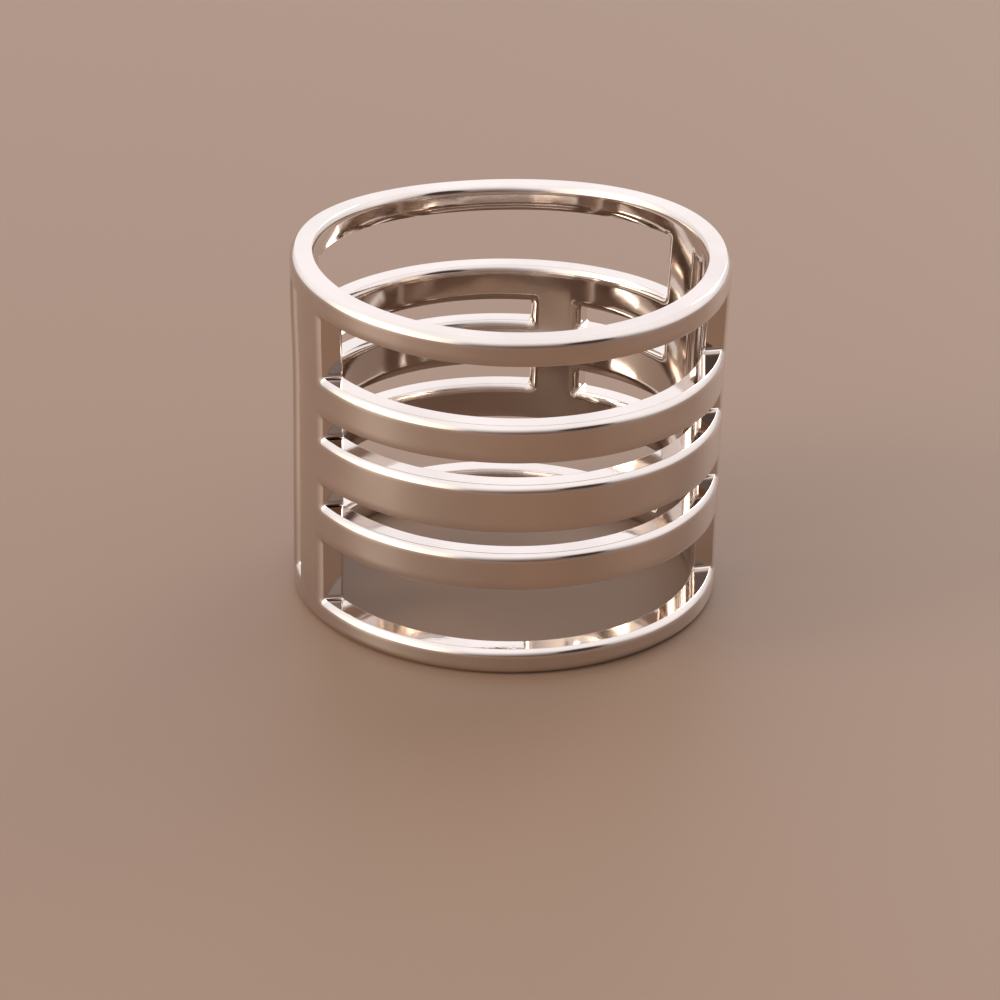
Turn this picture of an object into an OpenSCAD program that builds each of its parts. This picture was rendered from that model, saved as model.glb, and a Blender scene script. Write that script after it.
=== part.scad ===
// Openwork finger ring: five round hoops one above the other, joined by a wide
// upright on each side and by one short post between the middle hoops at the back.
// A narrow slit runs up the middle of each upright.
// Origin: centre of the bottom edge. +Z is the finger axis, -Y the front, X runs
// through the two side uprights.

/* [Band] */
// inside diameter of the band, across the finger
finger_d = 17.2; // [15:0.1:21]
// metal thickness of the band
wall = 1.15; // [0.95:0.1:1.35]
// height of the band along the finger
ring_h = 16; // [15.5:0.1:18]
// radius that softens the long edges of the hoops
edge_r = 0.32; // [0.15:0.01:0.4]

/* [Hoops] */
// height of the two rim hoops
rim_h = 1.2; // [1:0.05:1.3]
// height of the two slim inner hoops
slim_h = 1.7; // [1.4:0.05:1.8]
// height of the broad hoop in the middle
broad_h = 2.2; // [1.8:0.05:2.4]
// height of the tall gap over the bottom rim hoop
low_gap = 3; // [2.6:0.1:3.2]
// height of the tall gap under the top rim hoop
high_gap = 2.8; // [2.4:0.1:3]

/* [Uprights] */
// width of each side upright, from window to window
upright_w = 6.4; // [5:0.1:8]
// width of the slit in each upright
slit_w = 0.9; // [0.5:0.1:1.2]
// radius that softens the upright edges of the uprights
side_r = 0.3; // [0.15:0.01:0.35]

/* [Post] */
// turn of the post from the middle of the back, towards +X
post_turn = 27.7; // [15:0.1:45]
// width of the post at the middle of the wall
post_w = 2.55; // [1.8:0.05:3.2]

/* [Hidden] */
$fn = 128;
finger_r = finger_d / 2;
outer_r = finger_r + wall;
short_gap = (ring_h - 2 * rim_h - 2 * slim_h - broad_h - low_gap - high_gap) / 2;
// height and bottom of each hoop, from the floor up
hoop_h = [rim_h, slim_h, broad_h, slim_h, rim_h];
hoop_z = [
  0,
  rim_h + low_gap,
  rim_h + low_gap + slim_h + short_gap,
  ring_h - rim_h - high_gap - slim_h,
  ring_h - rim_h
];
// the inner hoops end inside the uprights, halfway between slit and window
hoop_end = asin((upright_w + slit_w) / 4 / outer_r);
// the post's faces lie this far inside the faces of the hoops
post_in = 0.05;
silver = [0.86, 0.78, 0.76];

// section of one hoop with its four long edges rounded
module hoop_section(h) {
  translate([edge_r, 0]) square([wall - 2 * edge_r, h]);
  translate([0, edge_r]) square([wall, h - 2 * edge_r]);
  for (x = [edge_r, wall - edge_r], z = [edge_r, h - edge_r])
    translate([x, z]) circle(edge_r);
}

// whole hoop along a rim
module rim_hoop(z, h) {
  translate([0, 0, z])
    rotate_extrude()
      translate([finger_r, 0])
        hoop_section(h);
}

// front and back arcs of an inner hoop, from upright to upright
module inner_hoop(z, h) {
  for (half = [0, 180])
    rotate(half + hoop_end)
      translate([0, 0, z])
        rotate_extrude(angle = 180 - 2 * hoop_end)
          translate([finger_r, 0])
            hoop_section(h);
}

// plan of a strip of the band wall between the radii ri and ro, its four corners
// rounded; ic and oc are the centres of the corner rounds at the finger and outside,
// low end first, and away holds the direction that each end faces
module strip_plan(ri, ro, ic, oc, away) {
  for (c = concat(ic, oc)) translate(c) circle(side_r);
  // flat end faces
  for (i = [0, 1])
    polygon([ic[i], oc[i], oc[i] + side_r * away[i], ic[i] + side_r * away[i]]);
  // body between the corner rounds
  intersection() {
    difference() {
      circle(ro);
      circle(ri);
    }
    polygon([
      ic[0] * 0.5, ic[0], oc[0], oc[0] * 1.5,
      oc[1] * 1.5, oc[1], ic[1], ic[1] * 0.5
    ]);
  }
}

// point at radius r on the line y = h
function at_line(r, h) = [sqrt(r * r - h * h), h];

// point at radius r, turned by a from +X
function at_turn(r, a) = r * [cos(a), sin(a)];

// four strips, two on each side with the slit between them
module side_uprights() {
  low = slit_w / 2 + side_r;
  high = upright_w / 2 - side_r;
  for (sx = [0, 1], sy = [0, 1])
    mirror([sx, 0, 0]) mirror([0, sy, 0])
      translate([0, 0, rim_h / 2])
        linear_extrude(ring_h - rim_h)
          strip_plan(
            finger_r, outer_r,
            [at_line(finger_r + side_r, low), at_line(finger_r + side_r, high)],
            [at_line(outer_r - side_r, low), at_line(outer_r - side_r, high)],
            [[0, -1], [0, 1]]
          );
}

// post across the two short gaps, its sides running towards the axis
module back_post() {
  ri = finger_r + post_in;
  ro = outer_r - post_in;
  half = post_w / (ri + ro) * 180 / PI;
  fi = half - asin(side_r / (ri + side_r));
  fo = half - asin(side_r / (ro - side_r));
  rotate(90 - post_turn)
    translate([0, 0, hoop_z[1] + slim_h / 2])
      linear_extrude(hoop_z[3] - hoop_z[1])
        strip_plan(
          ri, ro,
          [at_turn(ri + side_r, -fi), at_turn(ri + side_r, fi)],
          [at_turn(ro - side_r, -fo), at_turn(ro - side_r, fo)],
          [at_turn(1, -half - 90), at_turn(1, half + 90)]
        );
}

module openwork_band() {
  color(silver) union() {
    for (i = [0, 4]) rim_hoop(hoop_z[i], hoop_h[i]);
    for (i = [1 : 3]) inner_hoop(hoop_z[i], hoop_h[i]);
    side_uprights();
    back_post();
  }
}

openwork_band();
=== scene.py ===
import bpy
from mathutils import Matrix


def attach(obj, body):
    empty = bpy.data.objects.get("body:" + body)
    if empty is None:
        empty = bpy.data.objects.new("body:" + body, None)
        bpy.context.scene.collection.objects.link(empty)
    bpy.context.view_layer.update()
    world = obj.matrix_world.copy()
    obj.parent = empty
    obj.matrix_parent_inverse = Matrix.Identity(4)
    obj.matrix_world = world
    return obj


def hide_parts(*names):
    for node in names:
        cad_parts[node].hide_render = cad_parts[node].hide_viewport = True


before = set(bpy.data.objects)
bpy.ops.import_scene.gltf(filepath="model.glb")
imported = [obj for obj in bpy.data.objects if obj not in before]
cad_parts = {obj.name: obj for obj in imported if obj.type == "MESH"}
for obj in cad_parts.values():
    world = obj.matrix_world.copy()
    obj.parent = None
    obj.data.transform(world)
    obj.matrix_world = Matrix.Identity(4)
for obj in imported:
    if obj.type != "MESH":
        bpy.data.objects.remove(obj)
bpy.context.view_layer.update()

import math

import bmesh
import bpy
import numpy as np
from mathutils import Matrix, Vector

mm = 0.001  # every size below is in millimetres
print("stage 1: frame loaded,", len(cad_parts), "node")

# the pierced band, in the same sizes as the part's own solid
band = {
    "fingerR": 8.6,
    "outerR": 9.75,
    "hoops": [(0.0, 1.2), (4.2, 5.9), (7.0, 9.2), (10.3, 12.0), (14.8, 16.0)],
    "uprightHalf": 3.2,  # half the width of a side upright
    "slitHalf": 0.45,  # half the width of the slit in it
    "postAngle": 62.3,  # turn of the post from +X, in degrees
    "postHalf": 7.96,  # half the span of the post, in degrees
    "hoopRound": 0.38,  # how far the rounding runs in from a hoop's long edge
    "sideRound": 0.48,  # the same at the edges of uprights, slits and post
    "roundOut": 0.22,  # how deep the rounding goes into the wall from outside
    "roundIn": 0.16,  # the same from the finger side
    "lowShare": 0.3,  # share of these depths at the lower edges of the upper hoops
    "sideShare": 0.6,  # the same at the upright edges of the windows, outside
    "sideShareIn": 1.5,  # and on the finger side
    "slitShare": 1.5,  # and of the slits
    "rimLift": 0.36,  # how much the top rim rises over the two uprights
    "rimLean": 0.5,  # share by which it rises more at the back than at the front
    "rimSpread": 0.11,  # how much it also stands out over the uprights
    "baseLift": 0.2,  # how much taller the bottom hoop is at the back
    "topSlope": 0.017,  # how much the tops of the two lowest hoops fall towards the finger
    "slopeReach": 0.3,  # and how far above and below them that fades out
    "cornerRound": 0.16,  # softening of the windows' own corners
    "cornerFade": 0.5,  # how far into the metal that is felt
    "seam": 10.0,  # turn at which the mesh begins, in solid metal between slit and window
    "roundSteps": 6,  # grid lines over each rounding
    "turnStep": 1.5,  # longest step round the band, in degrees
    "riseStep": 0.5,  # longest step up the band
    "guardLine": 0.05,  # grid line this far behind each rounding
    "cornerLines": (0.04, 0.09, 0.16, 0.25),  # and lines this far into each opening
    "wallLine": 0.015,  # support lines that keep the gap walls crisp
    "uprightFlat": 10.0,  # how many degrees from an upright's wall the metal turns with it
    "slitFlat": 5.0,  # the same for a slit's wall
    "fullFlat": 1.5,  # and how many degrees it turns in full
}

# slow unevenness that hand polishing leaves: share, waves round the band, lean and start
polish = {
    "depth": 0.006,
    "waves": ((0.5, 5, 0.55, 0.4), (0.35, 11, -0.8, 1.9), (0.25, 17, 1.3, 4.2), (0.15, 29, -1.9, 2.6)),
    "insideShift": 3.0,  # so the finger side doesn't copy the outside
}


def degreesOf(arc):
    return math.degrees(arc / band["outerR"])


def gapWindows():
    # (start angle, end angle, bottom, top) of each opening, angles from +X; slits come last
    side = math.degrees(math.asin(band["uprightHalf"] / band["outerR"]))
    slit = math.degrees(math.asin(band["slitHalf"] / band["outerR"]))
    hoops = band["hoops"]
    postLow = band["postAngle"] - band["postHalf"]
    postHigh = band["postAngle"] + band["postHalf"]
    gaps = []
    for row in range(4):
        low, high = hoops[row][1], hoops[row + 1][0]
        gaps.append((180 + side, 360 - side, low, high))
        if row in (1, 2):
            gaps.append((side, postLow, low, high))
            gaps.append((postHigh, 180 - side, low, high))
        else:
            gaps.append((side, 180 - side, low, high))
    for middle in (180, 360):
        gaps.append((middle - slit, middle + slit, hoops[0][1], hoops[4][0]))
    return gaps


def linesAcross(edges, rounding, first, last, step, unit):
    # grid lines: close together over each rounded edge, then evenly in between
    lines = {first, last}
    for place, side in edges:
        for k in range(band["roundSteps"] + 1):
            run = rounding * (1 - math.sin(math.pi / 2 * k / band["roundSteps"]))
            lines.add(place - side * run * unit)
        lines.add(place - side * (rounding + band["guardLine"]) * unit)
        for run in band["cornerLines"]:
            lines.add(place + side * run * unit)
    kept = [x for x in sorted(lines) if first <= x <= last]
    full = [kept[0]]
    for x in kept[1:]:
        if x - full[-1] < 1e-6:
            continue
        parts = max(1, math.ceil((x - full[-1]) / step - 1e-6))
        start = full[-1]
        full += [start + (x - start) * (n + 1) / parts for n in range(parts)]
    return np.array(full)


def cornerSoftening(u, z, gaps):
    # moves the grid a little into each opening at its corners, so they come out round
    r, reach = band["cornerRound"], band["cornerFade"]
    moveU, moveZ = np.zeros_like(u), np.zeros_like(u)
    lean = r * (1 - math.sqrt(0.5))
    for a0, a1, z0, z1 in gaps:
        for edge, sideU in ((a0, 1), (a1, -1)):
            for rim, sideZ in ((z0, 1), (z1, -1)):
                p = (u - edge) * sideU / degreesOf(1)
                t = (z - rim) * sideZ
                along = np.maximum(p, 0) + np.maximum(t, 0)
                away = np.hypot(np.minimum(p, 0), np.minimum(t, 0))
                turn = math.pi / 4 * (1 + np.clip(along / r, 0, 1))
                slide = np.where(along < r, r - r * np.cos(turn) - along, 0)
                lift = np.where(along < r, r - r * np.sin(turn), 0)
                fade = np.clip(1 - away / reach, 0, 1) ** 2
                inGap = (p > 1e-6) & (t > 1e-6)
                both = (p <= 1e-6) & (t <= 1e-6)
                dp = np.where(both, lean, np.where(p > 0, slide, lift)) * fade
                dt = np.where(both, lean, np.where(p > 0, lift, slide)) * fade
                near = (along < r) & (away < reach) & ~inGap
                moveU += np.where(near, dp * sideU * degreesOf(1), 0)
                moveZ += np.where(near, dt * sideZ, 0)
    return moveU, moveZ


def edgeRounding(u, z, gaps, windowShare):
    # 1 at an opening or a rim, 0 where the rounding of its edge ends; steepest at the
    # opening itself, as tumbling wears an edge
    def fall(across, up):
        far = np.hypot(across / band["sideRound"], up / band["hoopRound"])
        return (1 - np.clip(far, 0, 1)) ** 2

    def blend(x):
        x = np.clip(x + 0.5, 0, 1)
        return x * x * (3 - 2 * x)

    height = band["hoops"][4][1]
    depth = np.maximum(fall(0, height - z), fall(0, z))
    for a0, a1, z0, z1 in gaps:
        sideShare = band["slitShare"] if (a0, a1) in (gaps[-2][:2], gaps[-1][:2]) else windowShare
        for whole in (0, -360):
            across = np.maximum(a0 + whole - u, u - a1 - whole) / degreesOf(1)
            part = fall(np.maximum(across, 0), np.maximum(np.maximum(z0 - z, z - z1), 0))
            aside = np.maximum(across / band["sideRound"], -1)
            under = blend((z - z1) / band["sideRound"] - aside)
            over = blend((z0 - z) / band["sideRound"] - aside)
            share = sideShare * (1 - under - over) + band["lowShare"] * under + over
            depth = np.maximum(depth, part * share)
    return depth


def straightWalls(u, rho):
    # turns the metal slightly as it goes in, so the walls of uprights and slits are flat
    turn = np.zeros_like(u)
    flat = band["fullFlat"]
    for name in ("upright", "slit"):
        half, reach = band[name + "Half"], band[name + "Flat"]
        outer = math.degrees(math.asin(half / band["outerR"]))
        inner = np.degrees(np.arcsin(half / rho)) - outer
        places = [outer - reach, outer - flat, outer + flat, outer + reach]
        for middle in (0, 180, 360):
            for side in (1, -1):
                turn += inner * np.interp((u - middle) * side, places, [0, 1, 1, 0]) * side
    return turn


def overUprights(a, z):
    # 1 at the top rim over the uprights, fading to 0 at front and back and lower down
    low, high = band["hoops"][3][0], band["hoops"][4][0]
    part = np.clip((z - low) / (high - low), 0, 1)
    return np.cos(a) ** 2 * part * part * (3 - 2 * part)


def atBackBase(a, z):
    # 1 at the top of the bottom hoop at the back, fading to 0 at the sides, floor and next hoop
    hoops = band["hoops"]
    return np.maximum(np.sin(a), 0) ** 2 * np.interp(z, [0, hoops[0][1], hoops[1][0]], [0, 1, 0])


def polishWave(angle, z):
    a = np.radians(angle)
    wave = 0
    for share, turns, lean, start in polish["waves"]:
        wave = wave + share * np.sin(turns * a + lean * z + start)
    return polish["depth"] * wave


def makeBand():
    gaps = gapWindows()
    sides, rims = set(), set()
    for a0, a1, z0, z1 in gaps:
        sides |= {(round(a0, 6), 1), (round(a1, 6), -1)}
        rims |= {(z0, 1), (z1, -1)}
    height = band["hoops"][4][1]
    rims |= {(height, 1), (0.0, -1)}
    seam = band["seam"]
    u = linesAcross(sides, band["sideRound"], seam, seam + 360, band["turnStep"], degreesOf(1))[:-1]
    z = linesAcross(rims, band["hoopRound"], 0.0, height, band["riseStep"], 1)
    nu, nz = len(u), len(z)
    uMid = (u + np.append(u[1:], seam + 360)) / 2
    zMid = (z[1:] + z[:-1]) / 2
    metal = np.ones((nu, nz - 1), bool)
    for a0, a1, z0, z1 in gaps:
        inside = np.zeros(nu, bool)
        for whole in (0, 360):
            inside |= (uMid > a0 + whole) & (uMid < a1 + whole)
        metal &= ~(inside[:, None] & ((zMid > z0) & (zMid < z1))[None, :])

    uu, zz = np.meshgrid(u, z, indexing="ij")
    moveU, moveZ = cornerSoftening(uu, zz, gaps)
    layers = []
    for radius, inward, depth, windowShare in (
        (band["outerR"], -1, band["roundOut"], band["sideShare"]),
        (band["fingerR"], 1, band["roundIn"], band["sideShareIn"]),
    ):
        rho = radius + inward * depth * edgeRounding(uu, zz, gaps, windowShare)
        angle = uu + moveU + straightWalls(uu, rho)
        rho = rho + polishWave(angle, zz + polish["insideShift"] * inward)
        a = np.radians(angle)
        strain = overUprights(a, zz)
        rho = rho + band["rimSpread"] * strain
        lift = band["rimLift"] * strain * (1 + band["rimLean"] * np.sin(a))
        lift = lift + band["baseLift"] * atBackBase(a, zz)
        if inward > 0:
            for _, top in band["hoops"][:2]:
                lift = lift - band["topSlope"] * np.exp(-(((zz - top) / band["slopeReach"]) ** 2))
        layers.append(np.stack([rho * np.cos(a), rho * np.sin(a), zz + moveZ + lift], axis=-1))

    bm = bmesh.new()
    made = {}
    softFinish, sharpFinish = 0, 1  # the ring's two materials, in the order that they are added

    # layer 0 is the outside, 1 the finger side, and 2 to 4 lie in the walls between them
    def corner(layer, i, j):
        key = (layer, i % nu, j)
        if key not in made:
            outside, inside = layers[0][i % nu, j], layers[1][i % nu, j]
            if layer < 2:
                spot = layers[layer][i % nu, j]
            else:
                width = np.linalg.norm(inside - outside)
                part = {2: band["wallLine"] / width, 3: 0.5, 4: 1 - band["wallLine"] / width}[layer]
                spot = outside + (inside - outside) * part
            made[key] = bm.verts.new(Vector(spot) * mm)
        return made[key]

    def wall(i, j, i2, j2, finish):
        order = [0, 2, 3, 4, 1]
        for k in range(4):
            one, two = order[k], order[k + 1]
            loop = [corner(one, i, j), corner(one, i2, j2), corner(two, i2, j2), corner(two, i, j)]
            face = bm.faces.new(loop)
            face.material_index = finish

    for i in range(nu):
        for j in range(nz - 1):
            if not metal[i, j]:
                continue
            for layer in (0, 1):
                loop = [(i, j), (i + 1, j), (i + 1, j + 1), (i, j + 1)]
                bm.faces.new([corner(layer, *spot) for spot in (loop if layer == 0 else loop[::-1])])
            if j == 0 or not metal[i, j - 1]:
                wall(i + 1, j, i, j, sharpFinish)
            if j == nz - 2 or not metal[i, j + 1]:
                wall(i, j + 1, i + 1, j + 1, sharpFinish)
            if not metal[i - 1, j]:
                wall(i, j, i, j + 1, softFinish)
            if not metal[(i + 1) % nu, j]:
                wall(i + 1, j + 1, i + 1, j, softFinish)
    bmesh.ops.recalc_face_normals(bm, faces=bm.faces[:])
    for face in bm.faces:
        face.smooth = True
    mesh = bpy.data.meshes.new("polishedBand")
    bm.to_mesh(mesh)
    openEdges = sum(1 for e in bm.edges if len(e.link_faces) != 2)
    bm.free()
    piece = bpy.data.objects.new("polished_band", mesh)
    bpy.context.scene.collection.objects.link(piece)
    print("stage 2: band made,", len(mesh.polygons), "faces,", openEdges, "open edges")
    return piece


# the photograph's view, seen from the front and 13 degrees round to the left
view = {
    "dip": 25.73,  # how far it looks down, in degrees
    "roll": -1.20,
    "turn": -13.0,
    "right": 0.2547,  # where the ring's foot lies in the picture, from its middle
    "down": 3.4984,
    "away": 168.7,
    "lens": 130.6,
    "clip": (0.005, 20),  # in metres
}

# warm silver with a light hand polish
silver = {
    "colour": (0.68, 0.595, 0.535, 1),
    "dullColour": (0.62, 0.54, 0.485, 1),  # in soft clouds, where the polish is duller
    "roughness": 0.09,
    "wallRoughness": 0.045,  # of the tops and undersides of the hoops
    "roughnessSpread": 0.05,
    "patchScale": 260,
    "patchDetail": 4,
    "patchRange": (0.3, 0.7),  # part of the noise that the roughness follows
    "toneRange": (0.35, 0.65),  # and the part that the colour follows
    "grainScale": 1500,
    "grainDetail": 3,
    "grainDepth": 0.0015,
}


def makeSilver(name, roughness):
    material = bpy.data.materials.new(name)
    material.use_nodes = True
    nodes, links = material.node_tree.nodes, material.node_tree.links
    shader = nodes["Principled BSDF"]
    shader.inputs["Metallic"].default_value = 1
    where = nodes.new("ShaderNodeTexCoord")
    patches = nodes.new("ShaderNodeTexNoise")  # where the polish is a touch duller
    patches.inputs["Scale"].default_value = silver["patchScale"]
    patches.inputs["Detail"].default_value = silver["patchDetail"]
    links.new(where.outputs["Object"], patches.inputs["Vector"])
    spread = nodes.new("ShaderNodeMapRange")
    for end, place in zip(("From Min", "From Max"), silver["patchRange"]):
        spread.inputs[end].default_value = place
    spread.inputs["To Min"].default_value = roughness - silver["roughnessSpread"] / 2
    spread.inputs["To Max"].default_value = roughness + silver["roughnessSpread"] / 2
    links.new(patches.outputs["Fac"], spread.inputs["Value"])
    links.new(spread.outputs["Result"], shader.inputs["Roughness"])
    tone = nodes.new("ShaderNodeValToRGB")
    for stop, place, colour in zip(
        tone.color_ramp.elements, silver["toneRange"], (silver["colour"], silver["dullColour"])
    ):
        stop.position, stop.color = place, colour
    links.new(patches.outputs["Fac"], tone.inputs["Fac"])
    links.new(tone.outputs["Color"], shader.inputs["Base Color"])
    grain = nodes.new("ShaderNodeTexNoise")  # fine unevenness of the polished skin
    grain.inputs["Scale"].default_value = silver["grainScale"]
    grain.inputs["Detail"].default_value = silver["grainDetail"]
    links.new(where.outputs["Object"], grain.inputs["Vector"])
    bump = nodes.new("ShaderNodeBump")
    bump.inputs["Strength"].default_value = 1
    bump.inputs["Distance"].default_value = silver["grainDepth"] * mm
    links.new(grain.outputs["Fac"], bump.inputs["Height"])
    links.new(bump.outputs["Normal"], shader.inputs["Normal"])
    return material


floor = {"half": 1.5, "colour": (0.191, 0.113, 0.070, 1), "roughness": 0.54, "sheen": 0.48}


def makeFloor():
    bm = bmesh.new()
    h = floor["half"]
    bm.faces.new([bm.verts.new((x * h, y * h, 0)) for x, y in ((-1, -1), (1, -1), (1, 1), (-1, 1))])
    mesh = bpy.data.meshes.new("floor")
    bm.to_mesh(mesh)
    bm.free()
    plane = bpy.data.objects.new("floor", mesh)
    bpy.context.scene.collection.objects.link(plane)
    material = bpy.data.materials.new("floor")
    material.use_nodes = True
    shader = material.node_tree.nodes["Principled BSDF"]
    shader.inputs["Base Color"].default_value = floor["colour"]
    shader.inputs["Roughness"].default_value = floor["roughness"]
    shader.inputs["Specular IOR Level"].default_value = floor["sheen"]
    mesh.materials.append(material)


# soft light from all round; each glow or shade has its turn and rise in degrees from the
# camera's side, and is full inside its first reach and gone at its second
sky = {
    "low": (0.95, 0.95, 0.98, 1),
    "rim": (1.40, 1.42, 1.52, 1),
    "high": (1.46, 1.49, 1.59, 1),
    "rimAt": 0.3,  # sine of the rise at which the sky has that colour
    "highAt": 0.8,
    "spots": [
        {"turn": 20, "rise": -25, "reach": (38, 80), "colour": (0.26, 0.22, 0.21, 1)},
        {"turn": -62, "rise": 10, "reach": (12, 45), "colour": (2.38, 2.22, 1.98, 1)},
        {"turn": 15, "rise": 0, "reach": (9, 21), "colour": (0.24, 0.15, 0.12, 1)},
        {"turn": 42, "rise": 22, "reach": (9, 17), "colour": (0.08, 0.055, 0.05, 1)},
    ],
}


def skyAim(turn, rise):
    # direction by its turn from the camera's side and its height, in degrees
    a, e = math.radians(turn + view["turn"]), math.radians(rise)
    return Vector((math.sin(a) * math.cos(e), -math.cos(a) * math.cos(e), math.sin(e)))


def makeSky():
    world = bpy.data.worlds.new("softRoom")
    bpy.context.scene.world = world
    world.use_nodes = True
    nodes, links = world.node_tree.nodes, world.node_tree.links
    back = nodes["Background"]
    where = nodes.new("ShaderNodeTexCoord")
    split = nodes.new("ShaderNodeSeparateXYZ")
    links.new(where.outputs["Generated"], split.inputs["Vector"])
    rise = nodes.new("ShaderNodeValToRGB")
    ramp = rise.color_ramp
    ramp.elements[0].position, ramp.elements[0].color = 0.0, sky["low"]
    ramp.elements[1].position, ramp.elements[1].color = sky["highAt"], sky["high"]
    ramp.elements.new(sky["rimAt"]).color = sky["rim"]
    links.new(split.outputs["Z"], rise.inputs["Fac"])
    last = rise.outputs["Color"]
    for spot in sky["spots"]:
        facing = nodes.new("ShaderNodeVectorMath")
        facing.operation = "DOT_PRODUCT"
        facing.inputs[1].default_value = skyAim(spot["turn"], spot["rise"])
        links.new(where.outputs["Generated"], facing.inputs[0])
        edge = nodes.new("ShaderNodeMapRange")
        edge.interpolation_type = "SMOOTHSTEP"
        edge.inputs["From Min"].default_value = math.cos(math.radians(spot["reach"][1]))
        edge.inputs["From Max"].default_value = math.cos(math.radians(spot["reach"][0]))
        links.new(facing.outputs["Value"], edge.inputs["Value"])
        mix = nodes.new("ShaderNodeMix")
        mix.data_type = "RGBA"
        mix.inputs["B"].default_value = spot["colour"]
        links.new(edge.outputs["Result"], mix.inputs["Factor"])
        links.new(last, mix.inputs["A"])
        last = mix.outputs["Result"]
    links.new(last, back.inputs["Color"])


# soft lamps: turn and rise in degrees as for the sky, sizes and distance in mm
lamps = {
    "leftWindow": {
        "turn": -72, "rise": 28, "away": 600,
        "size": (260, 240), "glow": 8.0, "colour": (1.0, 0.96, 0.88),
    },
    "backWindow": {
        "turn": 142, "rise": 30, "away": 600,
        "size": (280, 220), "glow": 6.0, "colour": (1.0, 0.97, 0.92),
    },
}


def makeLamps():
    for name, lamp in lamps.items():
        data = bpy.data.lights.new(name, "AREA")
        data.shape = "RECTANGLE"
        data.size, data.size_y = (side * mm for side in lamp["size"])
        data.energy = lamp["glow"] * math.pi * data.size * data.size_y  # so glow is its brightness
        data.color = lamp["colour"]
        light = bpy.data.objects.new(name, data)
        light.location = skyAim(lamp["turn"], lamp["rise"]) * lamp["away"] * mm
        light.rotation_euler = (-light.location).to_track_quat("-Z", "Y").to_euler()
        bpy.context.scene.collection.objects.link(light)


def makeCamera():
    dip, roll, turn = (math.radians(view[k]) for k in ("dip", "roll", "turn"))
    ahead = Vector((0, math.cos(dip), -math.sin(dip)))
    right = Vector((1, 0, 0))
    up = Vector((0, math.sin(dip), math.cos(dip)))
    place = -right * view["right"] + up * view["down"] - ahead * view["away"]
    camRight = right * math.cos(roll) - up * math.sin(roll)
    camUp = right * math.sin(roll) + up * math.cos(roll)
    axes = Matrix((camRight, camUp, -ahead)).transposed().to_4x4()
    data = bpy.data.cameras.new("camera")
    data.lens = view["lens"]
    data.clip_start, data.clip_end = view["clip"]
    camera = bpy.data.objects.new("camera", data)
    camera.matrix_world = Matrix.Rotation(turn, 4, "Z") @ Matrix.Translation(place * mm) @ axes
    bpy.context.scene.collection.objects.link(camera)
    bpy.context.scene.camera = camera


makeCamera()
makeFloor()
makeSky()
makeLamps()
print("stage 3: camera, floor and light placed")

ring = makeBand()
ring.data.materials.append(makeSilver("roseSilver", silver["roughness"]))
ring.data.materials.append(makeSilver("gapSilver", silver["wallRoughness"]))
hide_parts("openwork_band")
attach(ring, "root")

bpy.context.scene.view_settings.view_transform = "Standard"
print("stage 4: band placed")
